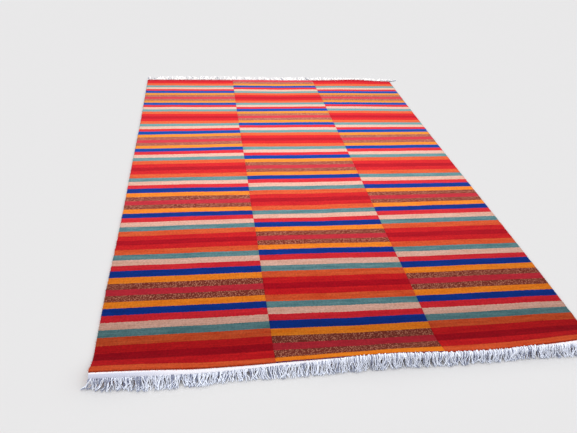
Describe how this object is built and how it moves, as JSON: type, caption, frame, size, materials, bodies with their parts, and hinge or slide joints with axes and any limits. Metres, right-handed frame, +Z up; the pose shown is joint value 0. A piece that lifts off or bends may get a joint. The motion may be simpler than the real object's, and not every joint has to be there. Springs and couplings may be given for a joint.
{
  "type": "striped nepalese pile rug",
  "caption": "Flat striped wool pile rug in three panels with shifted stripes, white flat-woven headings and cotton fringe at both ends, its near end curling up.",
  "frame": {"origin": "middle of the underside, on the floor", "axes": "+X across the rug to the right, +Y along the rug towards its far end, +Z up out of the pile"},
  "size_m": [2.0731, 3.1468, 0.054],
  "materials": {
    "wool_pile": "cut wool pile in cross stripes",
    "cotton_heading": "flat-woven white cotton",
    "cotton_fringe": "loose twisted cotton yarn"
  },
  "bodies": {
    "root": {"pile_field": "wool_pile", "heading_near": "cotton_heading", "heading_far": "cotton_heading", "fringe_near": "cotton_fringe", "fringe_far": "cotton_fringe"}
  },
  "joints": []
}
